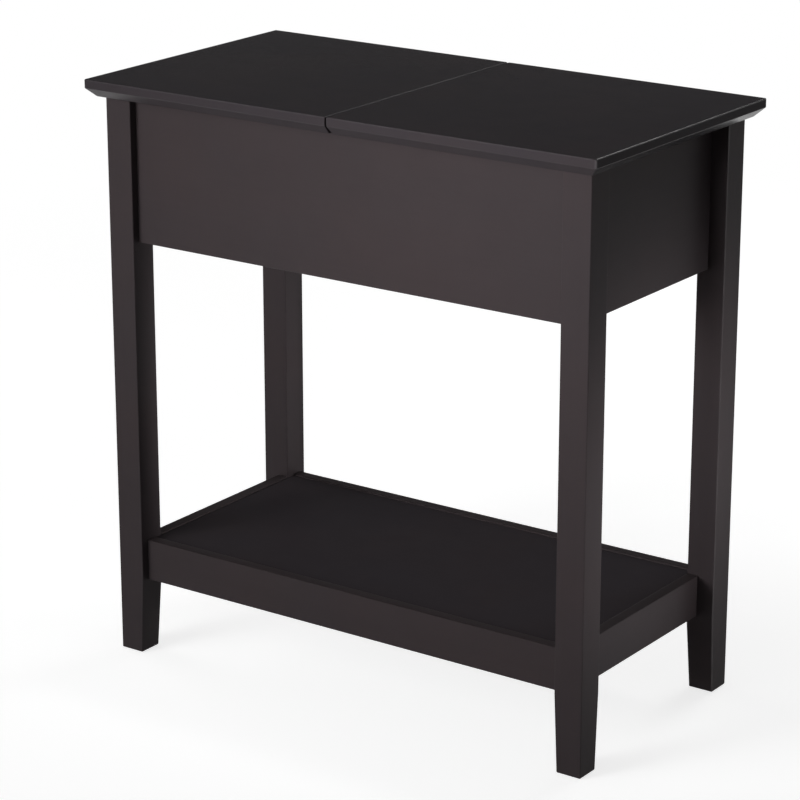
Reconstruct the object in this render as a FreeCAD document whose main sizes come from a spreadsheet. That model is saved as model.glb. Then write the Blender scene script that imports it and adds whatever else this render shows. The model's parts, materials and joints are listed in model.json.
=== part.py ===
import FreeCAD, Part
import os
import Sketcher
from FreeCAD import Placement, Rotation, Vector

# End table with two lids that flip up toward the middle on concealed cup hinges.
# +X right, +Y away from the front, +Z up, origin on the floor under the middle of the top.

os.makedirs("parts", exist_ok=True)
doc = FreeCAD.newDocument("LiftTopEndTable")
sheet = doc.addObject("Spreadsheet::Sheet", "Sizes")

sizes = {
    # top
    "top_length": 600, "top_depth": 315, "top_height": 615,
    "lid_thick": 18, "lid_bevel": 9, "lid_ease": 1, "seam_gap": 2, "seam_relief": 1.5,
    # legs and the pads under them
    "side_overhang": 14, "front_overhang": 16.5, "leg_width": 31, "leg_taper": 3.8,
    "leg_ease": 1, "pad_width": 18, "pad_thick": 1,
    # storage box
    "board_thick": 12.5, "board_ease": 0.8, "front_recess": 8, "apron_height": 149,
    "floor_thick": 9, "floor_rise": 14, "divider_thick": 15, "cleat_width": 12,
    "cleat_inset": 3, "panel_gap": 0.3,
    # lower shelf
    "rail_top": 126.5, "rail_height": 44.5, "shelf_thick": 9, "shelf_step": 1.5,
    # dowels and wood screws
    "dowel_width": 6, "dowel_length": 24, "dowel_margin": 25, "divider_dowel_length": 16,
    "screw_width": 3.5, "screw_head": 7, "screw_head_depth": 2,
    # cup hinge, places measured across from the seam and down from the top of the lids
    "hinge_reach": 78, "cup_across": 23.5, "cup_width": 35, "cup_depth": 12, "cup_wall": 1,
    "slot_length": 31, "slot_width": 12, "flange_thick": 1, "flange_start": 11,
    "flange_end": 37, "flange_length": 62, "flange_corner": 8, "ear_reach": 24,
    "cup_screw_length": 12, "cup_pin_across": 11.8, "cup_pin_down": 13.9,
    "arm_pin_across": 30.5, "arm_pin_down": 26.5, "pin_width": 3, "pin_clearance": 0.05,
    "cup_pin_length": 20, "link_width": 10, "link_thick": 1.6, "link_eye": 4.8,
    "neck_across": 17.5, "neck_down": 10.7, "knee_across": 24.2, "knee_down": 15.6,
    "arm_play": 0.3, "arm_wall": 1.5, "arm_nose": 4.4, "arm_corner": 2.5,
    "arm_shoulder": 42, "arm_bend": 50, "arm_foot": 80, "arm_rise": 6,
    "plate_thick": 2, "plate_spine": 16, "plate_width": 46, "plate_wing": 18,
    "plate_margin": 2, "plate_screw_down": 64, "plate_screw_reach": 16,
    "plate_screw_length": 10, "arm_screw_width": 5, "arm_screw_head": 8.5,
    "plate_corner": 3,
}
for row, (name, value) in enumerate(sizes.items(), start=1):
    sheet.set(f"A{row}", name)
    sheet.set(f"B{row}", str(value))
    sheet.setAlias(f"B{row}", name)
doc.recompute()

# places that several pieces share, as sums of the sizes
case_top = "top_height - lid_thick"
leg_x = "top_length / 2 - side_overhang"
leg_y = "top_depth / 2 - front_overhang"
inner_leg_x = f"{leg_x} - leg_width"
inner_leg_y = f"{leg_y} - leg_width"
side_face_x = inner_leg_x  # the side panels are flush with the legs on the inside
front_face_y = f"{leg_y} - front_recess - board_thick"
apron_bottom = f"{case_top} - apron_height"
rail_bottom = "rail_top - rail_height"
floor_bottom = f"{apron_bottom} + floor_rise"
floor_top = f"{floor_bottom} + floor_thick"
shelf_bottom = "rail_top - shelf_step - shelf_thick"
plate_face = "divider_thick / 2 + plate_thick"
foot_width = "leg_width - leg_taper"

directions = {
    "+x": Rotation(Vector(0, 1, 0), 90), "-x": Rotation(Vector(0, 1, 0), -90),
    "+y": Rotation(Vector(1, 0, 0), -90), "-y": Rotation(Vector(1, 0, 0), 90),
    "+z": Rotation(), "-z": Rotation(Vector(1, 0, 0), 180),
}
thread_sides = 6
head_sides = 10
dowel_sides = 10
nodes = []


def cells(expression):
    # each size named in the expression becomes the cell that holds it
    spaced = str(expression).replace("(", " ( ").replace(")", " ) ")
    return " ".join("Sizes." + word if word in sizes else word for word in spaced.split())


def bind(item, **properties):
    for name, expression in properties.items():
        item.setExpression(name, cells(expression))


def place(item, x=0, y=0, z=0, turn=None):
    item.Placement = Placement(Vector(), turn or Rotation())
    for axis, expression in zip("xyz", (x, y, z)):
        item.setExpression(f"Placement.Base.{axis}", cells(expression))
    return item


def node(label, item):
    item.Label = label
    nodes.append(item)
    return item


def together(name, pieces):
    group = doc.addObject("Part::Compound", name)
    group.Links = pieces
    return group


def drilled(name, blank, *cutters):
    # the pieces that go through a blank cut their own holes in it
    hole = doc.addObject("Part::Cut", name)
    hole.Base = blank
    hole.Tool = cutters[0] if len(cutters) == 1 else together(name + "_holes", cutters)
    return hole


def rod(name, direction, x, y, z, width, length):
    cylinder = doc.addObject("Part::Cylinder", name)
    bind(cylinder, Radius=f"( {width} ) / 2", Height=length)
    return place(cylinder, x, y, z, directions[direction])


def fluted(name, direction, x, y, z, width, length, sides):
    # a dowel or a thread, which grips its hole with its flats
    prism = doc.addObject("Part::Prism", name)
    prism.Polygon = sides
    bind(prism, Circumradius=f"{width} / 2", Height=length)
    return place(prism, x, y, z, directions[direction])


def screw(name, direction, x, y, z, width, head, length):
    # x, y, z is the middle of the head's outer face, and the length includes the head
    shank = fluted(name + "_shank", direction, x, y, z, width, length, thread_sides)
    cap = fluted(name + "_head", direction, x, y, z, head, "screw_head_depth", head_sides)
    whole = doc.addObject("Part::Fuse", name)
    whole.Base = shank
    whole.Tool = cap
    return whole


def wood_screw(name, direction, x, y, z, length):
    return screw(name, direction, x, y, z, "screw_width", "screw_head", length)


def new_body(name):
    return doc.addObject("PartDesign::Body", name)


def new_sketch(body, plane, offset="0"):
    sketch = body.newObject("Sketcher::SketchObject", body.Name + "_sketch")
    role = plane + "_Plane"
    origin_plane = next(item for item in body.Origin.OriginFeatures if item.Role == role)
    sketch.AttachmentSupport = [(origin_plane, "")]
    sketch.MapMode = "FlatFace"
    sketch.setExpression("AttachmentOffset.Base.z", cells(offset))
    return sketch


def measure(sketch, kind, geometry, point, expression):
    # a driven distance of a point from the sketch's own origin
    number = sketch.addConstraint(Sketcher.Constraint(kind, -1, 1, geometry, point, 1.0))
    sketch.setExpression(f"Constraints[{number}]", cells(expression))


def polygon(sketch, corners):
    count = len(corners)
    turns = [Rotation(Vector(0, 0, 1), 360 * i / count) for i in range(count + 1)]
    starts = [turn.multVec(Vector(1, 0, 0)) for turn in turns]
    first = sketch.GeometryCount
    for start, end in zip(starts, starts[1:]):
        sketch.addGeometry(Part.LineSegment(start, end))
    for i in range(count):
        follower = first + (i + 1) % count
        sketch.addConstraint(Sketcher.Constraint("Coincident", first + i, 2, follower, 1))
    for i, (across, up) in enumerate(corners):
        measure(sketch, "DistanceX", first + i, 1, across)
        measure(sketch, "DistanceY", first + i, 1, up)


def rectangle(sketch, left, right, low, high):
    polygon(sketch, [(left, low), (right, low), (right, high), (left, high)])


def circle(sketch, across, up, width):
    number = sketch.addGeometry(Part.Circle(Vector(1, 1, 0), Vector(0, 0, 1), 1))
    measure(sketch, "DistanceX", number, 3, across)
    measure(sketch, "DistanceY", number, 3, up)
    size = sketch.addConstraint(Sketcher.Constraint("Diameter", number, 2.0))
    sketch.setExpression(f"Constraints[{size}]", cells(width))


def pad(body, sketch, length, both_ways=False, reverse=False):
    feature = body.newObject("PartDesign::Pad", body.Name + "_pad")
    feature.Profile = sketch
    feature.SideType = "Symmetric" if both_ways else "One side"
    feature.Reversed = reverse
    bind(feature, Length=length)
    doc.recompute()
    return feature


def pocket(body, sketch, length=None, both_ways=False, reverse=False):
    feature = body.newObject("PartDesign::Pocket", body.Name + "_pocket")
    feature.Profile = sketch
    feature.SideType = "Symmetric" if both_ways else "One side"
    feature.Reversed = reverse
    if length is None:
        feature.Type = "ThroughAll"
    else:
        bind(feature, Length=length)
    doc.recompute()
    return feature


def chamfer(body, size, wanted=None):
    # on the edges of the tip that "wanted" picks, or on all of them
    tip = body.Tip
    feature = body.newObject("PartDesign::Chamfer", body.Name + "_chamfer")
    if wanted is None:
        feature.Base = (tip, [""])
        feature.UseAllEdges = True
    else:
        edges = enumerate(tip.Shape.Edges, start=1)
        feature.Base = (tip, [f"Edge{i}" for i, edge in edges if wanted(edge)])
    bind(feature, Size=size)
    doc.recompute()
    return feature


def runs_along(edge, axis):
    box = edge.BoundBox
    spans = {"x": box.XLength, "y": box.YLength, "z": box.ZLength}
    return spans.pop(axis) > 0.5 and max(spans.values()) < 1e-4


def board(name, x, y, bottom, length, width, height, eased=True):
    # a plain board, placed by the middle of its underside
    body = new_body(name)
    sketch = new_sketch(body, "XY")
    half_length = f"( {length} ) / 2"
    half_width = f"( {width} ) / 2"
    rectangle(sketch, f"-1 * {half_length}", half_length, f"-1 * {half_width}", half_width)
    pad(body, sketch, height)
    if eased:
        chamfer(body, "board_ease")
    return place(body, x, y, bottom)


def bent_strip(name, path, thick, width):
    # a strip of even thickness along a line of straight stretches, with round ends
    line = doc.addObject("Sketcher::SketchObject", name + "_line")
    line.Placement = Placement(Vector(), directions["-y"])
    ends = [Vector(i, 0, 0) for i in range(len(path))]
    for start, end in zip(ends, ends[1:]):
        line.addGeometry(Part.LineSegment(start, end))
    for i in range(len(path) - 2):
        line.addConstraint(Sketcher.Constraint("Coincident", i, 2, i + 1, 1))
    for i, (across, up) in enumerate(path):
        piece, point = (i, 1) if i < len(path) - 1 else (i - 1, 2)
        measure(line, "DistanceX", piece, point, across)
        measure(line, "DistanceY", piece, point, up)
    outline = doc.addObject("Part::Offset2D", name + "_outline")
    outline.Source = line
    outline.Fill = True
    outline.Mode = "Skin"
    outline.Join = "Intersection"
    bind(outline, Value=f"{thick} / 2")
    strip = doc.addObject("Part::Extrusion", name)
    strip.Base = outline
    strip.DirMode = "Custom"
    strip.Dir = Vector(0, 1, 0)
    strip.Symmetric = True
    strip.Solid = True
    bind(strip, LengthFwd=width)
    doc.recompute()
    return strip


def fused(name, *pieces):
    whole = doc.addObject("Part::MultiFuse", name)
    whole.Shapes = list(pieces)
    return whole


def front_and_back(name, piece):
    # the same piece at both hinges of a lid, mirrored across the middle of the depth
    other = doc.addObject("Part::Mirroring", name + "_mirror")
    other.Source = piece
    other.Normal = Vector(0, 1, 0)
    return together(name, [piece, other])


# dowels

def corner_dowels(name, heights):
    dowels = []
    for height in heights:
        for x_sign, y_sign in ((-1, -1), (1, -1), (1, 1), (-1, 1)):
            dowels.append(fluted(
                f"{name}_{len(dowels)}", "+x",
                f"{x_sign} * ( {inner_leg_x} ) - dowel_length / 2",
                f"{y_sign} * ( {front_face_y} + board_thick / 2 )",
                height, "dowel_width", "dowel_length", dowel_sides))
            dowels.append(fluted(
                f"{name}_{len(dowels)}", "+y",
                f"{x_sign} * ( {side_face_x} + board_thick / 2 )",
                f"{y_sign} * ( {inner_leg_y} ) - dowel_length / 2",
                height, "dowel_width", "dowel_length", dowel_sides))
    return node(name, together(name, dowels))


apron_dowels = corner_dowels(
    "apron_dowels", [f"{apron_bottom} + dowel_margin", f"{case_top} - dowel_margin"])
rail_dowels = corner_dowels("rail_dowels", [f"rail_top - rail_height / 2"])

divider_dowels = node("divider_dowels", together("divider_dowels", [
    fluted(f"divider_dowel_{i}_{'front' if y_sign < 0 else 'back'}", "+y", "0",
           f"{y_sign} * ( {front_face_y} ) - divider_dowel_length / 2",
           height, "dowel_width", "divider_dowel_length", dowel_sides)
    for i, height in enumerate((f"{floor_top} + dowel_margin", f"{case_top} - dowel_margin"))
    for y_sign in (-1, 1)]))


# storage box and shelf frame

def cleats(name, bottom):
    # glued battens inside the panels, two long and two short, that carry a level panel
    blanks = []
    for sign in (-1, 1):
        blanks.append(board(
            f"{name}_long_{sign + 1}", "0", f"{sign} * ( {front_face_y} - cleat_width / 2 )",
            bottom, f"2 * ( {side_face_x} - cleat_inset )", "cleat_width", "cleat_width",
            eased=False))
        blanks.append(board(
            f"{name}_short_{sign + 1}", f"{sign} * ( {side_face_x} - cleat_width / 2 )", "0",
            bottom, "cleat_width",
            f"2 * ( {front_face_y} - cleat_width - cleat_inset )", "cleat_width", eased=False))
    return node(name, together(name, blanks))


def panel_ring(kind, bottom, height, holes):
    # four panels between the legs, set back from the legs' outer faces
    for sign, side in ((-1, "front"), (1, "back")):
        blank = board(
            f"{side}_{kind}_blank", "0", f"{sign} * ( {front_face_y} + board_thick / 2 )",
            bottom, f"2 * ( {inner_leg_x} )", "board_thick", height)
        node(f"{side}_{kind}", drilled(f"{side}_{kind}", blank, *holes))
    for sign, side in ((-1, "left"), (1, "right")):
        blank = board(
            f"{side}_{kind}_blank", f"{sign} * ( {side_face_x} + board_thick / 2 )", "0",
            bottom, "board_thick", f"2 * ( {inner_leg_y} )", height)
        node(f"{side}_{kind}", drilled(f"{side}_{kind}", blank, *holes))


def level_panel(name, bottom, thick):
    return node(name, board(
        name, "0", "0", bottom, f"2 * ( {side_face_x} - panel_gap )",
        f"2 * ( {front_face_y} - panel_gap )", thick))


panel_ring("apron", apron_bottom, "apron_height", (apron_dowels, divider_dowels))
panel_ring("shelf_rail", rail_bottom, "rail_height", (rail_dowels,))
cleats("floor_cleats", f"{floor_bottom} - cleat_width")
cleats("shelf_cleats", f"{shelf_bottom} - cleat_width")
level_panel("storage_floor", floor_bottom, "floor_thick")
level_panel("shelf_panel", shelf_bottom, "shelf_thick")


# legs

def leg(name, x_sign, y_sign, quarter_turns):
    # square above the shelf rails, its two inner faces tapering below them
    body = new_body(name + "_blank")
    square = new_sketch(body, "XY", "pad_thick")
    rectangle(square, "0", "leg_width", "0", "leg_width")
    pad(body, square, f"{case_top} - pad_thick")
    chamfer(body, "leg_ease", lambda edge: runs_along(edge, "z"))
    for plane in ("XZ", "YZ"):
        wedge = new_sketch(body, plane)
        polygon(wedge, [
            ("leg_width + leg_ease", "pad_thick - leg_ease"),
            ("leg_width + leg_ease", rail_bottom),
            ("leg_width", rail_bottom),
            (foot_width, "pad_thick"),
            (foot_width, "pad_thick - leg_ease"),
        ])
        pocket(body, wedge, both_ways=True)
    foot = body.Tip.Shape.BoundBox.ZMin
    chamfer(body, "leg_ease", lambda edge: edge.BoundBox.ZMax < foot + 1e-4)
    turn = Rotation(Vector(0, 0, 1), 90 * quarter_turns)
    place(body, f"{x_sign} * ( {leg_x} )", f"{y_sign} * ( {leg_y} )", "0", turn)
    node(name, drilled(name, body, apron_dowels, rail_dowels))


foot_pads = []
for quarter_turns, (corner, x_sign, y_sign) in enumerate((
        ("front_left", -1, -1), ("front_right", 1, -1), ("back_right", 1, 1), ("back_left", -1, 1))):
    leg(corner + "_leg", x_sign, y_sign, quarter_turns)
    foot_pads.append(board(
        corner + "_pad", f"{x_sign} * ( {leg_x} - ( {foot_width} ) / 2 )",
        f"{y_sign} * ( {leg_y} - ( {foot_width} ) / 2 )", "0", "pad_width", "pad_width",
        "pad_thick", eased=False))
node("foot_pads", together("foot_pads", foot_pads))


# cup hinges, each built at the right lid and turned half round for the left one

def at_hinge(body, turn):
    return place(body, "0", "hinge_reach", "0", turn)


def down(depth):
    return f"top_height - ( {depth} )"


def hinge_cup(side, turn, cup_screws):
    body = new_body(side + "_cup_piece")
    disc = new_sketch(body, "XY", case_top)
    circle(disc, "cup_across", "0", "cup_width")
    pad(body, disc, "cup_depth")
    flange = new_sketch(body, "XY", case_top)
    rectangle(flange, "flange_start", "flange_end", "-1 * flange_length / 2", "flange_length / 2")
    pad(body, flange, "flange_thick", reverse=True)
    tip_y = sizes["flange_length"] / 2
    chamfer(body, "flange_corner",
          lambda edge: runs_along(edge, "z") and abs(edge.BoundBox.YMin) > tip_y - 1e-3)
    slot = new_sketch(body, "XY", f"{case_top} - flange_thick")
    rectangle(slot, "cup_across - slot_length / 2", "cup_across + slot_length / 2",
              "-1 * slot_width / 2", "slot_width / 2")
    pocket(body, slot, "flange_thick + cup_depth - cup_wall", reverse=True)
    pin_hole = new_sketch(body, "XZ")
    circle(pin_hole, "cup_pin_across", down("cup_pin_down"), "pin_width")
    pocket(body, pin_hole, "cup_pin_length", both_ways=True)
    cups = front_and_back(side + "_cup_blanks", at_hinge(body, turn))
    return node(side + "_hinge_cups", drilled(side + "_hinge_cups", cups, cup_screws))


def hinge_link(side, turn):
    # gooseneck that reaches around the lip of the open lid
    path = [("cup_pin_across", down("cup_pin_down")), ("neck_across", down("neck_down")),
            ("knee_across", down("knee_down")), ("arm_pin_across", down("arm_pin_down"))]
    strip = bent_strip(side + "_link_strip", path, "link_thick", "link_width")
    start = "-1 * link_width / 2"
    eyes = []
    holes = []
    for tag, across, depth in (("cup", "cup_pin_across", "cup_pin_down"),
                               ("arm", "arm_pin_across", "arm_pin_down")):
        eyes.append(rod(f"{side}_{tag}_eye", "+y", across, start, down(depth),
                        "link_eye", "link_width"))
        holes.append(rod(f"{side}_{tag}_eye_hole", "+y", across, start, down(depth),
                         "pin_width + 2 * pin_clearance", "link_width"))
    link = drilled(side + "_link", fused(side + "_link_blank", strip, *eyes), *holes)
    at_hinge(link, turn)
    return node(side + "_hinge_links", front_and_back(side + "_hinge_links", link))


def hinge_arm(side, turn, arm_screws):
    # two cheeks either side of the link, joined along their back by a bent web
    nose = "arm_pin_across + arm_nose"
    high = down("arm_pin_down - arm_nose")
    low = down("arm_pin_down + arm_nose")
    back = f"{plate_face} + arm_rise"
    body = new_body(side + "_arm_piece")
    profile = new_sketch(body, "XZ")
    polygon(profile, [
        (plate_face, down("arm_foot")), (plate_face, down("arm_shoulder")),
        ("arm_pin_across - arm_nose", high), (nose, high), (nose, low),
        (back, down("arm_bend")), (back, down("arm_foot"))])
    channel_width = "( link_width + 2 * arm_play )"
    pad(body, profile, f"{channel_width} + 2 * arm_wall", both_ways=True)
    pin_height = sizes["top_height"] - sizes["arm_pin_down"]
    chamfer(body, "arm_corner",
          lambda edge: runs_along(edge, "y") and edge.BoundBox.ZMin > pin_height)
    channel = new_sketch(body, "XZ")
    polygon(channel, [
        (f"{plate_face} - arm_wall", down("arm_foot + arm_wall")),
        (f"{plate_face} - arm_wall", f"{high} + arm_wall"),
        (f"{nose} + arm_wall", f"{high} + arm_wall"),
        (f"{nose} + arm_wall", f"{low} + arm_wall"),
        (f"{nose} - arm_wall", f"{low} + arm_wall"),
        (f"{back} - arm_wall", down("arm_bend - arm_wall")),
        (f"{back} - arm_wall", down("arm_foot + arm_wall"))])
    pocket(body, channel, channel_width, both_ways=True)
    pin_hole = new_sketch(body, "XZ")
    circle(pin_hole, "arm_pin_across", down("arm_pin_down"), "pin_width")
    pocket(body, pin_hole, both_ways=True)
    arms = front_and_back(side + "_arm_blanks", at_hinge(body, turn))
    return node(side + "_hinge_arms", drilled(side + "_hinge_arms", arms, arm_screws))


def mounting_plate(side, turn, *screws):
    body = new_body(side + "_plate_piece")
    face = "divider_thick / 2"
    spine = new_sketch(body, "YZ", face)
    rectangle(spine, "-1 * plate_spine / 2", "plate_spine / 2",
              down("arm_foot + plate_margin"), down("arm_shoulder - plate_margin"))
    pad(body, spine, "plate_thick")
    wing = new_sketch(body, "YZ", face)
    rectangle(wing, "-1 * plate_width / 2", "plate_width / 2",
              down("plate_screw_down + plate_wing / 2"), down("plate_screw_down - plate_wing / 2"))
    pad(body, wing, "plate_thick")
    wing_end = sizes["plate_width"] / 2
    chamfer(body, "plate_corner",
          lambda edge: runs_along(edge, "x") and abs(edge.BoundBox.YMin) > wing_end - 1e-3)
    plates = front_and_back(side + "_plate_blanks", at_hinge(body, turn))
    return node(side + "_mounting_plates", drilled(side + "_mounting_plates", plates, *screws))


def at_both_hinges(name, make):
    # one piece at each hinge, given its own name and the hinge's place along the depth
    return node(name, together(name, [
        piece for y_sign, spot in ((-1, "front"), (1, "back"))
        for piece in make(f"{name}_{spot}", f"{y_sign} * hinge_reach")]))


def hinge_pins(side, sign, end, length):
    return at_both_hinges(f"{side}_{end}_pins", lambda name, middle: [rod(
        name, "+y", f"{sign} * {end}_pin_across", f"{middle} - {length} / 2",
        down(f"{end}_pin_down"), "pin_width", length)])


def lid(side, turn, screws):
    body = new_body(side + "_lid_blank")
    outline = new_sketch(body, "XY", case_top)
    rectangle(outline, "seam_gap / 2", "top_length / 2", "-1 * top_depth / 2", "top_depth / 2")
    pad(body, outline, "lid_thick")
    under = sizes["top_height"] - sizes["lid_thick"]
    seam = sizes["seam_gap"] / 2
    chamfer(body, "lid_bevel", lambda edge: edge.BoundBox.ZMax < under + 1e-4
          and edge.BoundBox.XMax > seam + 1e-3)
    chamfer(body, "lid_ease", lambda edge: edge.BoundBox.ZMin > sizes["top_height"] - 1e-4)
    chamfer(body, "seam_relief", lambda edge: runs_along(edge, "y")
          and edge.BoundBox.ZMax < under + 1e-4 and edge.BoundBox.XMax < seam + 1e-3)
    cups = new_sketch(body, "XY", case_top)
    for sign in (-1, 1):
        circle(cups, "cup_across", f"{sign} * hinge_reach", "cup_width")
    pocket(body, cups, "cup_depth", reverse=True)
    place(body, turn=turn)
    return node(side + "_lid", drilled(side + "_lid", body, screws))


all_plate_screws = []
for side, sign in (("left", -1), ("right", 1)):
    turn = Rotation(Vector(0, 0, 1), 0 if sign > 0 else 180)
    inward = "-x" if sign > 0 else "+x"
    outer_face = f"{sign} * ( {plate_face} + arm_rise + screw_head_depth )"
    plate_head = f"{sign} * ( {plate_face} + screw_head_depth )"
    arm_screws = at_both_hinges(f"{side}_arm_screws", lambda name, middle: [screw(
        name, inward, outer_face, middle, down("plate_screw_down"), "arm_screw_width",
        "arm_screw_head", "screw_head_depth + arm_rise + plate_thick")])
    plate_screws = at_both_hinges(f"{side}_plate_screws", lambda name, middle: [wood_screw(
        f"{name}_{wing + 1}", inward, plate_head, f"{middle} + {wing} * plate_screw_reach",
        down("plate_screw_down"), "plate_screw_length") for wing in (-1, 1)])
    cup_screws = at_both_hinges(f"{side}_cup_screws", lambda name, middle: [wood_screw(
        f"{name}_{ear + 1}", "+z", f"{sign} * cup_across", f"{middle} + {ear} * ear_reach",
        f"{case_top} - flange_thick - screw_head_depth", "cup_screw_length") for ear in (-1, 1)])
    all_plate_screws.append(plate_screws)
    hinge_cup(side, turn, cup_screws)
    hinge_link(side, turn)
    hinge_arm(side, turn, arm_screws)
    mounting_plate(side, turn, arm_screws, plate_screws)
    hinge_pins(side, sign, "cup", "cup_pin_length")
    hinge_pins(side, sign, "arm", "( link_width + 2 * arm_play + 2 * arm_wall )")
    lid(side, turn, cup_screws)

divider = board("centre_divider_blank", "0", "0", floor_top, "divider_thick",
                f"2 * ( {front_face_y} )", f"{case_top} - ( {floor_top} )")
node("centre_divider", drilled("centre_divider", divider, divider_dowels, *all_plate_screws))


# export

doc.recompute()
for item in doc.Objects:
    if {"Invalid", "Error"} & set(item.State):
        raise RuntimeError(f"{item.Label} did not build: {item.State}")
for item in nodes:
    if not item.Shape.isValid() or not item.Shape.Solids:
        raise RuntimeError(f"{item.Label} has no sound solid")
    item.Shape.exportStep(f"parts/{item.Label}.step")
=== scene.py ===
# End table with two lids that flip up toward the middle on concealed cup hinges.
# Metres throughout: +X right, +Y away from the front, +Z up.
import json
import math

import bmesh
import bpy
import numpy as np
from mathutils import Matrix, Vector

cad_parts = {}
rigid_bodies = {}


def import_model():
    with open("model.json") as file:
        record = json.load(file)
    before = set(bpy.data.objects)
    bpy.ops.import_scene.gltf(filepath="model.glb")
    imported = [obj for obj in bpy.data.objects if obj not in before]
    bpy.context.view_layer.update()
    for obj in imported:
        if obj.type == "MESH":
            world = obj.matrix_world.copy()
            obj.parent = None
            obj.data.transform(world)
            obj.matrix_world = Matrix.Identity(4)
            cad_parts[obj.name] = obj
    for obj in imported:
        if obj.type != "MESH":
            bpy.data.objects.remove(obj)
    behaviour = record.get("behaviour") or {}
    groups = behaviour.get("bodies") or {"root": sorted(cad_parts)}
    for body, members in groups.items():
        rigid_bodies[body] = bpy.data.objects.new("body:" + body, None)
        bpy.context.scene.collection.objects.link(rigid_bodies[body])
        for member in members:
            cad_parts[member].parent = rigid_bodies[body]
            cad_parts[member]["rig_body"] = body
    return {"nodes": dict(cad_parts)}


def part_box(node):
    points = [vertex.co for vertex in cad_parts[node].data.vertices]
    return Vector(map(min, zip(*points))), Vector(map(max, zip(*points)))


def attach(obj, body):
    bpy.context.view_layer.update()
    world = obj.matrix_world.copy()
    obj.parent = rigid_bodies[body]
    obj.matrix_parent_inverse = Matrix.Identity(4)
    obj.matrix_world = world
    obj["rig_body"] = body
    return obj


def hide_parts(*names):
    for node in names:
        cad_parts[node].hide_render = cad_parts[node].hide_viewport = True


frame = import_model()
bpy.context.view_layer.update()
nodes = frame["nodes"]
print("frame loaded:", len(nodes), "nodes")


# Shapes are given as an array of points and a list of faces.

def roundedLine(points, radii, steps):
    # Open line with its inner corners rounded: each corner becomes an arc tangent to both runs,
    # centre + (sin((1 - s) t) * start + sin(s t) * end) / sin t, with t its turn and s its share
    # of the way.
    points = np.array(points, float)
    shares = np.linspace(0, 1, steps + 1)[:, None]
    pieces = []
    for before, corner, after, radius in zip(points, points[1:], points[2:], radii):
        back = (before - corner) / np.linalg.norm(before - corner)
        ahead = (after - corner) / np.linalg.norm(after - corner)
        half = math.acos(np.clip(back @ ahead, -1, 1)) / 2
        middle = (back + ahead) / np.linalg.norm(back + ahead)
        centre = corner + middle * radius / math.sin(half)
        start = corner + back * radius / math.tan(half) - centre
        end = corner + ahead * radius / math.tan(half) - centre
        turn = math.pi - 2 * half
        pieces.append(centre + (np.sin((1 - shares) * turn) * start
                                + np.sin(shares * turn) * end) / math.sin(turn))
    return np.vstack(pieces)


def squareLoops(low, high, radius, steps):
    # One closed loop for each row of low and high: four quarter circles, each its own centre
    # + radius * (cos a, sin a), from the front left corner round by the front right one.
    # The radius is one number, one for each loop, or one for each loop and corner.
    low, high, radius = np.atleast_2d(low), np.atleast_2d(high), np.asarray(radius, float)
    quarter = np.linspace(0, math.pi / 2, steps + 1)
    angles = math.pi + np.concatenate([quarter + i * math.pi / 2 for i in range(4)])
    right = np.repeat([0, 1, 1, 0], steps + 1)
    back = np.repeat([0, 0, 1, 1], steps + 1)
    radius = radius if radius.ndim == 2 else radius.reshape(-1, 1)
    spread = np.repeat(np.broadcast_to(radius, (len(low), 4)), steps + 1, axis=1)
    x = np.where(right, high[:, :1] - spread, low[:, :1] + spread) + spread * np.cos(angles)
    y = np.where(back, high[:, 1:] - spread, low[:, 1:] + spread) + spread * np.sin(angles)
    return np.stack([x, y], axis=2)


def closedFaces(rings, loop):
    # Quads (k, n), (k, n + 1), (k + 1, n + 1), (k + 1, n) between the rings, then a face for
    # each end.
    row = np.arange(rings - 1)[:, None] * loop
    here = np.arange(loop)[None]
    after = (here + 1) % loop
    quads = np.stack([row + here, row + after, row + after + loop, row + here + loop], axis=2)
    ends = [list(range(loop))[::-1], list(range((rings - 1) * loop, rings * loop))]
    return quads.reshape(-1, 4).tolist() + ends


def shiftedFaces(faces, count):
    # The same faces for points that follow on count others.
    return [[i + count for i in face] for face in faces]


def stackLoops(loops, heights):
    # Flat loops set at their heights along the third axis.
    rings, loop = loops.shape[:2]
    height = np.broadcast_to(np.asarray(heights)[:, None, None], (rings, loop, 1))
    return np.concatenate([loops, height], axis=2).reshape(-1, 3), closedFaces(rings, loop)


def easedEnd(ease, steps):
    # How far a loop draws in, ease * (1 - cos a), and how far along it lies,
    # ease * (1 - sin a), with a from a right angle at the very end to 0.
    angle = np.linspace(math.pi / 2, 0, steps + 1)
    return ease * (1 - np.cos(angle)), ease * (1 - np.sin(angle))


def easedBoard(low, high, ease, steps=4):
    # Board with every edge and corner rounded: an eased end at both ends of its length.
    low, high = np.array(low, float), np.array(high, float)
    along = int(np.argmax(high - low))
    order = [(along + 1) % 3, (along + 2) % 3, along]
    low, high = low[order], high[order]
    draw, place = easedEnd(ease, steps)
    inset = np.concatenate([draw, draw[::-1]])
    place = np.concatenate([low[2] + place, high[2] - place[::-1]])
    loops = squareLoops(low[:2] + inset[:, None], high[:2] - inset[:, None], ease - inset, steps)
    points, faces = stackLoops(loops, place)
    return points[:, np.argsort(order)], faces


# How strongly each face carries the painted edge light (painted highlight or painted shade in the
# stain) and the coat's edge gloss.
edgeLightAndGlossMark = {
    "flat": 0.995,     # a face is flat if its normal lies this much along one axis
    "narrow": 5e-4,    # and part of a rounded edge if its area over its way round is less
    "turned": 0.1,     # it faces down or inward if its normal leans so far that way
    "inward": 0.65, "down": 0.35, "bevel": 0.4,    # shares of the full mark
}


def readValues(items, name, width=1, kind=float):
    # One value of every item, in rows if it has more than one number.
    values = np.empty(len(items) * width, kind)
    items.foreach_get(name, values)
    return values.reshape(-1, width) if width > 1 else values


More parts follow.
